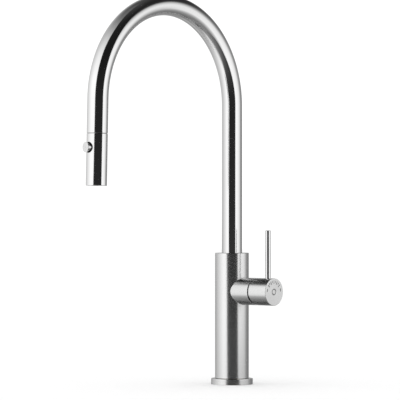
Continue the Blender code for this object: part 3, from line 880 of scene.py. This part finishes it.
def make_dock():
    """Plastic sleeve in the tube's end, with rounded ends and three guide ribs.

    A rib stands on the bore where cos(3 * turn) is near 1.
    """
    shell = Shell()
    low, high = down_leg("docking_sleeve")
    inner, outer, rib_height = 9.2, TUBE_R - TUBE_WALL - 0.3, 0.12
    points = outline(
        (inner, low, 0.3), (outer, low, 0.3), *stops(outer, low + 1, high - 1, 6),
        (outer, high, 0.3), (inner, high, 0.7), *stops(inner, high - 1.5, low + 1, 6))

    def warp(radius, along, turn):
        rib = blur(np.cos(3 * turn), 0.9, 0.98)
        inside = radius < inner + 1e-6
        return radius - np.where(inside, rib_height * rib, 0), along

    lathe(shell, points, HEAD, columns(96), warp)
    place_piece(shell, "dock_liner", "spout", "dark_plastic", "docking_sleeve")


# ---- the spray head ----
def make_head_shell():
    """Tube of the spray head with rounded ends and a round hole for the button."""
    shell = Shell()
    cells = 18
    wall_r, lip_r = 10.8, 9.2
    hole_r, edge = 6.1, 0.35
    half = math.radians(50)
    reach = TUBE_R * math.sin(half)
    inner_reach = wall_r * math.sin(half)
    points = outline(
        (lip_r, HEAD_START, 0.2), (TUBE_R, HEAD_START, 0.3),
        *stops(TUBE_R, HEAD_START + 1, BUTTON_ALONG - reach - 1, 2),
        *stops(TUBE_R, BUTTON_ALONG - reach, BUTTON_ALONG + reach, cells),
        *stops(TUBE_R, BUTTON_ALONG + reach + 2, HEAD_END - 1, 8),
        (TUBE_R, HEAD_END, 0.35), (wall_r, HEAD_END, 0.3),
        *stops(wall_r, HEAD_END - 1.5, BUTTON_ALONG + inner_reach + 2, 6),
        *stops(wall_r, BUTTON_ALONG + inner_reach, BUTTON_ALONG - inner_reach, cells),
        (wall_r, HEAD_START + 1.6), (lip_r, HEAD_START + 1.6))
    start, end = drill(
        shell, points, HEAD, half, cells, 92, BUTTON_ALONG,
        ((TUBE_R, -1, hole_r + edge), (wall_r, 1, hole_r)))
    levels = rounding(TUBE_R, hole_r, edge, False, cells)
    throat(shell, start, end, levels, HEAD, BUTTON_ALONG, cells)
    place_piece(shell, "head_tube", "spray_head", "brushed_stainless", "head_shell")


def make_button():
    """Push button: a disc with a rounded rim, on a narrower hollow neck.

    Its face falls by the crown times (radius / rim)**2.
    """
    shell = Shell()
    radius, face, skirt = 5.8, 16.2, 10.2
    neck, lip, crown = 4.7, 14.9, 0.12
    hollow, roof = 4.0, 14.6
    points = outline(
        (0, roof), (hollow, roof), (hollow, skirt), (neck, skirt, 0.2),
        *stops(neck, skirt + 1, lip - 1, 3), (neck, lip, 0.5), (radius, lip, 0.25),
        (radius, face - crown, 0.4),
        *[(r, face - crown * (r / radius) ** 2) for r in np.linspace(radius - 0.8, 0, 8)])
    lathe(shell, points, PRESS, columns(72))
    place_piece(
        shell, "button_cap", "button", "brushed_stainless", "spray_button", look="satin_stainless")


def make_spray_face():
    """Rubber ring with two rows of nubs, and the aerator's screen in its middle.

    The screen dips by |sin x * sin y|, with a wire along each whole pitch.
    """
    shell = Shell()
    start, end = down_leg("nozzle_ring")
    inner, outer = 5.5, 10.5
    points = outline(
        (inner, start), (outer, start), *stops(outer, start + 1, end - 1, 3),
        (outer, end, 0.5), *rows(end, outer - 1, inner + 0.8, 5), (inner, end, 0.3))
    lathe(shell, points, HEAD, columns(80))
    nub = outline(
        (0, -0.6), (0.62, -0.6), (0.55, 0.35), (0.42, 0.65, 0.2), (0.22, 0.7), (0.2, 0.1),
        (0, 0.1), bends=2)
    middle, right, up, _ = HEAD(end)
    for ring_r, count in ((7.1, 14), (9.2, 20)):
        for turn in TURN * np.arange(count) / count:
            spot = middle + ring_r * (math.cos(turn) * right + math.sin(turn) * up)
            lathe(shell, nub, straight(spot, DOWN, right), columns(10))
    place_piece(shell, "nozzle_face", "spray_head", "rubber", "nozzle_ring")

    shell = Shell()
    screen, rim_in, rim_out, pitch, dip = end - 1.9, 4.4, 5.2, 0.9, 0.35
    points = outline(
        (0, start), (rim_out, start), (rim_out, end, 0.2), (rim_in, end, 0.2),
        *rows(screen, rim_in, 0, 26))

    def warp(radius, along, turn):
        x, y = radius * np.cos(turn), radius * np.sin(turn)
        gaps = np.abs(np.sin(math.pi * x / pitch) * np.sin(math.pi * y / pitch))
        on_screen = (np.abs(along - screen) < 1e-9) & (radius < rim_in - 0.3)
        return radius, along - np.where(on_screen, dip * gaps, 0)

    lathe(shell, points, HEAD, columns(72), warp)
    place_piece(shell, "aerator_screen", "spray_head", "plain_steel", "aerator")


def make_spigot():
    """Plastic spigot of the head, with two shallow grooves and a rounded lead-in."""
    shell = Shell()
    low, high = down_leg("dock_spigot")
    inner, neck, wide, shoulder = 6.6, 8.9, 10.5, HEAD_START + 2
    groove = ((0, -0.7), (0.35, -0.4), (0.35, 0.4), (0, 0.7))
    grooves = [
        (neck - depth, low + middle + along) for middle in (3.5, 11.0)
        for depth, along in groove]
    points = outline(
        (inner, low, 0.2), (neck, low, 0.6), *grooves, (neck, shoulder), (wide, shoulder),
        (wide, high), (inner, high))
    lathe(shell, points, HEAD, columns(72))
    place_piece(shell, "head_spigot", "spray_head", "dark_plastic", "dock_spigot")


# ---- the hose ----
HOSE_R = 5.0
HOSE_STRETCH = (1.0, 37.0)       # the braid is spread as if the hose paid out between these distances down the leg
HOSE_END = 46.0


def hose_length(distances, way, pulled=lambda along: along):
    """A circle of the hose's radius carried along the way, closed at its ends.

    The braid runs by the distances that pulled gives.
    """
    shell = Shell()
    wall = [(HOSE_R, along) for along in distances]
    points = outline((0, distances[0]), *wall, (0, distances[-1]))
    lathe(shell, points, way, columns(36))
    part = shell.brushing[0]
    part[:, 0] = np.repeat(pulled(points[:, 1]), len(part) // len(points))
    return shell


def make_hose():
    """The hose in the spout, and the still length below it down the leg.

    The blended length's rows are even in the distances of the head fully out, where its braid shows.
    """
    start = box_mm("spray_hose")[0][2] - TUBE_LOW_Z
    first, last = HOSE_STRETCH
    upper = hose_length(np.linspace(start, ARC_END + first - 0.1, 221), spout_way)
    place_piece(upper, "hose_in_spout", "spout", "hose_braid", "spray_hose")

    def pulled(along):
        return along + PULL * blur(along, first, last)

    fine = np.linspace(first + 0.1, HOSE_END, 4000)
    even = np.linspace(pulled(fine[0]), pulled(fine[-1]), 150)
    distances = np.interp(even, pulled(fine), fine)
    lower = hose_length(distances, LEG, pulled).build("hose_paid_out", finish("hose_braid"))
    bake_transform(lower)
    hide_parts("spray_hose")


def make_spring():
    """Round wire along a helix: place = mean radius round the button's axis, rising evenly."""
    shell = Shell()
    coils, mean_r, wire_r, low, high = 4, 3.2, 0.35, 8.1, 14.0
    steps = coils * 32

    def way(along):
        along = np.asarray(along, float)
        turn = along * TURN * coils
        centre, right, up, ahead = PRESS(low + (high - low) * along)
        spoke = np.cos(turn)[..., None] * right + np.sin(turn)[..., None] * up
        forward = np.cross(ahead, spoke)
        return centre + mean_r * spoke, spoke, np.broadcast_to(ahead, spoke.shape), forward

    points = np.array(
        [(0, 0)] + [(wire_r, along) for along in np.linspace(0, 1, steps + 1)] + [(0, 1)])
    lathe(shell, points, way, columns(10))
    coil = place_piece(shell, "button_coil", "spray_head", "plain_steel", "button_spring")
    seat, _, _, outwards = PRESS(low - wire_r)
    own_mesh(coil)


# ---- under the worktop ----
def thread(radius_top, depth, pitch, low, high):
    """A helical groove: the radius falls by a triangle wave of along / pitch - turn."""
    def warp(radius, along, turn):
        wave = np.abs(2 * ((along / pitch - turn / TURN) % 1) - 1)
        fade = band(along, low, high, pitch)
        on_wall = np.abs(radius - radius_top) < 1e-9
        return radius - np.where(on_wall, depth * wave * fade, 0), along
    return warp


def make_mounting():
    """Threaded shank, and the nut that clamps it: half its width / cos(turn from a side).

    Cones at both ends take the nut's corners off.
    """
    shell = Shell()
    low, high = box_mm("threaded_shank")
    outer, bore = high[0], 14.4
    pitch, depth, rows_per_pitch, plain_from = 2.0, 0.7, 8, -4
    count = int((high[2] - low[2] - 2) / pitch * rows_per_pitch)
    points = outline(
        (bore, low[2]), (outer, low[2]), *stops(outer, low[2] + 1, high[2] - 1, count),
        (outer, high[2]), (bore, high[2]))
    lathe(
        shell, points, COLUMN, columns(72),
        thread(outer, depth, pitch, low[2] + 2, plain_from))
    place_piece(shell, "shank_thread", "column", "brass", "threaded_shank")

    shell = Shell()
    low, high = box_mm("mounting_nut")
    corner_r, bore = high[0], 16.8
    flat_r = corner_r * math.cos(math.pi / 6)
    points = outline(
        (bore, low[2], 0.3), *rows(low[2], bore + 1, corner_r, 8),
        *stops(corner_r, low[2] + 0.5, high[2] - 0.5, 12), *rows(high[2], corner_r, bore + 1, 8),
        (bore, high[2], 0.3))

    def hexagon(radius, along, turn):
        side = flat_r / np.cos((turn + TURN / 12) % (TURN / 6) - TURN / 12)
        from_end = np.minimum(along - low[2], high[2] - along)
        chamfer = flat_r + 0.3 + 1.7 * from_end
        return np.minimum(np.minimum(radius, side), np.maximum(chamfer, 0)), along

    lathe(shell, points, COLUMN, columns(144), hexagon)
    place_piece(shell, "hexagon_nut", "column", "brass", "mounting_nut")


# ---- the studio ----
FULL_LIGHT = 1.6


def curve(values, *knots):
    """Straight lines between (place, height) knots."""
    places, heights = zip(*knots)
    return np.interp(values, places, heights)


def glow(turn, rise):
    """Brightness of the light tent by direction, in degrees round from the camera and up.

    A tall softbox on the left wraps round to the back, a lower one stands on the right, and
    the gap between them round the camera is dark.  Below, the pale worktop bounces light.
    """
    left = curve(
        turn, (-180, 0.38), (-150, 0.47), (-120, 0.51), (-90, 0.73), (-60, 0.97), (-30, 0.97))
    left = left * curve(
        rise, (-90, 0.62), (-60, 0.74), (-40, 0.84), (-20, 0.93), (24, 1.0), (40, 0.84),
        (50, 0.64), (60, 0.34), (70, 0.15), (90, 0.08))
    # A dim strip just under the level, far round to the back.
    left = left * (1 - 0.35 * blur(-turn, 120, 150) * band(rise, -26, -4, 8))
    right = curve(
        turn, (30, 0.72), (60, 0.70), (75, 0.62), (90, 0.53), (105, 0.22), (120, 0.02))
    right = right * curve(
        rise, (-42, 0), (-24, 0.4), (-10, 0.95), (25, 1.0), (38, 0.7), (50, 0))
    # The room behind the right softbox, brightest straight behind the tap.
    base = 0.21 + 0.11 * blur(turn, 140, 180)
    base = base * (1 - 0.25 * blur(turn, 90, 130) * band(rise, -55, 15, 20))
    right = right + base * curve(
        rise, (-90, 1.0), (20, 1.1), (50, 0.15), (62, 0.07), (75, 0.1), (90, 0.22))
    middle = curve(
        rise, (-90, 0.25), (-70, 0.23), (-50, 0.16), (-30, 0.08), (-15, 0.04), (0, 0.019),
        (40, 0.009), (60, 0.013), (90, 0.05))
    light = np.where(turn < 0, left, right)
    soft = 2.0 + 28.0 * blur(-rise, 10, 60)
    left_edge = curve(
        rise, (-40, -27), (-30, -29), (-16, -34), (-4, -37), (4, -35), (12, -33), (30, -32.5),
        (45, -32), (60, -25))
    right_edge = curve(
        rise, (-50, 47), (-30, 46), (-18, 39), (0, 37.5), (12, 39), (30, 42), (60, 56))
    gap = blur(turn, left_edge - soft, left_edge + soft) * (
        1 - blur(turn, right_edge - 2, right_edge + 3))
    return FULL_LIGHT * (light * (1 - gap) + middle * gap)


def view_axes():
    """Level directions from the tap towards the camera, and to the camera's right."""
    turn = sizes().view_turn
    back = vector((math.sin(turn), -math.cos(turn), 0))
    return back, vector((math.cos(turn), math.sin(turn), 0))


def place_light(shell, name, material, middle, light):
    """Builds a glowing stage piece that only reflections see.

    Its glow is light(places, turn), where turn is in degrees round from the camera.
    """
    piece = shell.build(name, material)
    back, right = view_axes()
    places = vertex_places(piece) - vector(middle)
    turn = np.degrees(np.arctan2(places @ right, places @ back))
    set_numbers(piece, "glow", light(places, turn))
    # Rays off the steel find the light by themselves, with less speckle.
    material.cycles.emission_sampling = "NONE"
    piece.visible_camera = False
    piece.visible_diffuse = False
    piece.visible_shadow = False
    piece.visible_transmission = False


def make_tent():
    """Glowing ball round the tap: radius * cos(height), radius * sin(height)."""
    shell = Shell()
    radius = sizes().tent_radius / MM
    middle = (0, 0, 220.0)
    heights = np.radians(np.linspace(-90, 90, 91))
    points = np.stack([radius * np.cos(heights), radius * np.sin(heights)], -1)
    points[[0, -1], 0] = 0
    lathe(shell, points, straight(middle, Z_AXIS, view_axes()[0]), columns(360))
    material, tree = new_material("Tent light")
    lit = add(tree, "Attribute", attribute_name="glow")
    lamp = add(tree, "Emission", {
        "Color": (1, 1, 1, 1), "Strength": lit.outputs["Fac"]})
    add(tree, "OutputMaterial", {"Surface": lamp.outputs["Emission"]})

    def light(places, turn):
        return glow(turn, np.degrees(np.arcsin(np.clip(places[:, 2] / radius, -1, 1))))

    place_light(shell, "light_tent", material, middle, light)


def make_floor():
    """A wide pale worktop, round, which mirrors don't see."""
    shell = Shell()
    wide, low = 9000, -20
    points = outline((0, low), (wide, low), (wide, 0), (0, 0))
    lathe(shell, points, COLUMN, columns(64))
    material, tree = new_material("Matt white laminate")
    source = add(tree, "TexCoord").outputs["Object"]
    grain = add(tree, "TexNoise", {"Vector": source, "Scale": 300.0})
    pale = colours().floor
    mix = add(tree, "Mix", {
        "Factor": grain.outputs["Fac"], "A": shade(pale, 0.99), "B": shade(pale, 1.0)},
        data_type="RGBA")
    finish_material(tree, {
        "Base Color": mix.outputs["Result"], "Roughness": 1.0, "Specular IOR Level": 0.0})
    floor = shell.build("worktop", material)
    floor.visible_glossy = False


# Ranges of 1 - sin(rise) over which a level card clears: near level, and near upright.
LEVEL_CLEAR = (0.62, 0.86)
STEEP_CLEAR = (0.18, 0.08)


def card_material(name, clear_from, clear_to, slants):
    """Glows by the piece's "glow"; clears between two distances and over some slants.

    The back of a card is clear, so that it shows from one side only.
    """
    material, tree = new_material(name)
    place = add(tree, "Attribute", attribute_name="brushing")
    split = add(tree, "SeparateXYZ", {"Vector": place.outputs["Vector"]})
    fade = add(tree, "MapRange", {
        "Value": split.outputs["X"], "From Min": clear_from, "From Max": clear_to},
        interpolation_type="SMOOTHSTEP")
    slant = add(tree, "LayerWeight", {"Blend": 0.5})
    side = add(tree, "NewGeometry")
    away = add(tree, "Math", {
        0: fade.outputs["Result"], 1: side.outputs["Backfacing"]}, operation="MAXIMUM")
    for start, end in slants:
        level = add(tree, "MapRange", {
            "Value": slant.outputs["Facing"], "From Min": start, "From Max": end})
        away = add(tree, "Math", {
            0: away.outputs[0], 1: level.outputs["Result"]}, operation="MAXIMUM")
    lit = add(tree, "Attribute", attribute_name="glow")
    light = add(tree, "Emission", {
        "Color": (1, 1, 1, 1), "Strength": lit.outputs["Fac"]})
    clear = add(tree, "BsdfTransparent")
    mix = add(tree, "MixShader", {
        0: away.outputs[0], 1: light.outputs["Emission"], 2: clear.outputs["BSDF"]})
    add(tree, "OutputMaterial", {"Surface": mix.outputs["Shader"]})
    return material


def card_outline(height, edge, count, thick):
    """A disc at a height, with its back a little above or below it."""
    face = [(radius, height) for radius in np.linspace(10, edge, count)]
    return np.array([(0, height), *face, (edge, height + thick), (0, height + thick)])


def make_shade():
    """The worktop's own shade round the flange, which only the steel sees.

    It is darkest at the column, and fades into the tent's own light.
    """
    shell = Shell()
    cover, edge = 200.0, 300.0
    lathe(shell, card_outline(0.5, edge, 30, -0.1), COLUMN, columns(120))
    material = card_material("Worktop shade", cover, edge, (LEVEL_CLEAR, STEEP_CLEAR))

    def light(places, turn):
        distance = np.hypot(places[:, 0], places[:, 1])
        return glow(turn, -50.0) * curve(
            distance, (30, 0.17), (80, 0.3), (110, 0.4), (165, 0.55), (250, 0.95))

    place_light(shell, "worktop_shade", material, (0, 0, 0), light)


def make_flag():
    """A small black card over the column at the camera's height, seen only from below.

    It darkens the top of the handle.  Level reflections never meet it.
    """
    shell = Shell()
    inner, edge, dim = 70.0, 145.0, 0.05
    points = card_outline(sizes().view_height / MM, edge, 24, 0.1)
    lathe(shell, points, straight((-20, 30, 0), Z_AXIS, X_AXIS), columns(48))
    material = card_material("Black card", inner, edge, (LEVEL_CLEAR,))
    place_light(
        shell, "black_card", material, (0, 0, 0),
        lambda places, turn: np.full(len(turn), dim))


def make_camera():
    """Level camera with a long lens, looking at the tap from its front right."""
    size = sizes()
    camera = bpy.data.objects.new("camera", bpy.data.cameras.new("camera"))
    camera.data.lens = size.lens
    camera.data.sensor_width = 36
    camera.data.clip_end = 50
    back, right = view_axes()
    camera.location = (
        back * size.view_distance - right * size.view_shift + Z_AXIS * size.view_height)
    camera.rotation_euler = (math.pi / 2, 0, size.view_turn)
    bpy.context.scene.collection.objects.link(camera)
    bpy.context.scene.camera = camera


def make_world():
    """Even white surroundings for what is matt, and for the view behind the tap."""
    world = bpy.data.worlds.new("White studio")
    world.use_nodes = True
    tree = world.node_tree
    tree.nodes.clear()
    light = add(tree, "Background", {"Color": (1, 1, 1, 1), "Strength": 1.12})
    add(tree, "OutputWorld", {"Surface": light.outputs["Background"]})
    world.cycles_visibility.glossy = False
    bpy.context.scene.world = world
    bpy.context.scene.view_settings.view_transform = "Standard"


# ---- operators ----
class TAP_OT_stage(bpy.types.Operator):
    """Makes the worktop, the light tent, the white surroundings and the camera."""

    bl_idname = "tap.stage"
    bl_label = "Studio"

    def execute(self, context):
        make_world()
        make_floor()
        make_tent()
        make_shade()
        make_flag()
        make_camera()
        return {"FINISHED"}


class TAP_OT_column(bpy.types.Operator):
    """Makes the column's brushed shell and its flange."""

    bl_idname = "tap.column"
    bl_label = "Column"

    def execute(self, context):
        make_body()
        make_base_ring()
        return {"FINISHED"}


class TAP_OT_handle(bpy.types.Operator):
    """Makes the round handle, the dome under it and the lever rod."""

    bl_idname = "tap.handle"
    bl_label = "Handle"

    def execute(self, context):
        make_handle_cap()
        make_dome_ring()
        make_rod()
        return {"FINISHED"}


class TAP_OT_spout(bpy.types.Operator):
    """Makes the bent spout tube and the dock in its end."""

    bl_idname = "tap.spout"
    bl_label = "Spout"

    def execute(self, context):
        make_spout()
        make_dock()
        return {"FINISHED"}


class TAP_OT_head(bpy.types.Operator):
    """Makes the spray head: tube, button, spring, nozzle face and spigot."""

    bl_idname = "tap.head"
    bl_label = "Spray head"

    def execute(self, context):
        make_head_shell()
        make_button()
        make_spring()
        make_spray_face()
        make_spigot()
        return {"FINISHED"}


class TAP_OT_hose(bpy.types.Operator):
    """Makes the braided hose in the spout and the length that pays out."""

    bl_idname = "tap.hose"
    bl_label = "Hose"

    def execute(self, context):
        make_hose()
        return {"FINISHED"}


class TAP_OT_mounting(bpy.types.Operator):
    """Makes the threaded shank and the nut under the worktop."""

    bl_idname = "tap.mounting"
    bl_label = "Mounting"

    def execute(self, context):
        make_mounting()
        return {"FINISHED"}


class TAP_OT_inner_parts(bpy.types.Operator):
    """Gives every part that keeps its CAD shape the finish of its slot."""

    bl_idname = "tap.inner_parts"
    bl_label = "Inner parts"

    def execute(self, context):
        slots = {part["node"]: part["material_slot"] for part in frame["record"]["subparts"]}
        for name, node in frame["nodes"].items():
            if node.hide_render:
                continue
            if not node.material_slots:
                node.data.materials.append(None)
            for place in node.material_slots:
                place.link = "OBJECT"
                place.material = finish(slots[name])
        return {"FINISHED"}


class TAP_PT_panel(bpy.types.Panel):
    """Lists the steps that dress the tap."""

    bl_label = "Tap"
    bl_idname = "TAP_PT_panel"
    bl_space_type = "VIEW_3D"
    bl_region_type = "UI"
    bl_category = "Tap"

    def draw(self, context):
        for operator in OPERATORS:
            self.layout.operator(operator.bl_idname)
        for group in (context.scene.tap_sizes, context.scene.tap_colours):
            for name in group.__annotations__:
                self.layout.prop(group, name)


OPERATORS = (
    TAP_OT_stage, TAP_OT_column, TAP_OT_handle, TAP_OT_spout, TAP_OT_head, TAP_OT_hose,
    TAP_OT_mounting, TAP_OT_inner_parts)
CLASSES = (TapSizes, TapColours, *OPERATORS, TAP_PT_panel)


def register():
    for item in CLASSES:
        bpy.utils.register_class(item)
    bpy.types.Scene.tap_sizes = bpy.props.PointerProperty(type=TapSizes)
    bpy.types.Scene.tap_colours = bpy.props.PointerProperty(type=TapColours)


def unregister():
    del bpy.types.Scene.tap_colours
    del bpy.types.Scene.tap_sizes
    for item in reversed(CLASSES):
        bpy.utils.unregister_class(item)


def main():
    register()
    bpy.ops.tap.stage()
    bpy.ops.tap.column()
    bpy.ops.tap.handle()
    bpy.ops.tap.spout()
    bpy.ops.tap.head()
    bpy.ops.tap.hose()
    bpy.ops.tap.mounting()
    bpy.ops.tap.inner_parts()


if __name__ == "__main__":
    main()
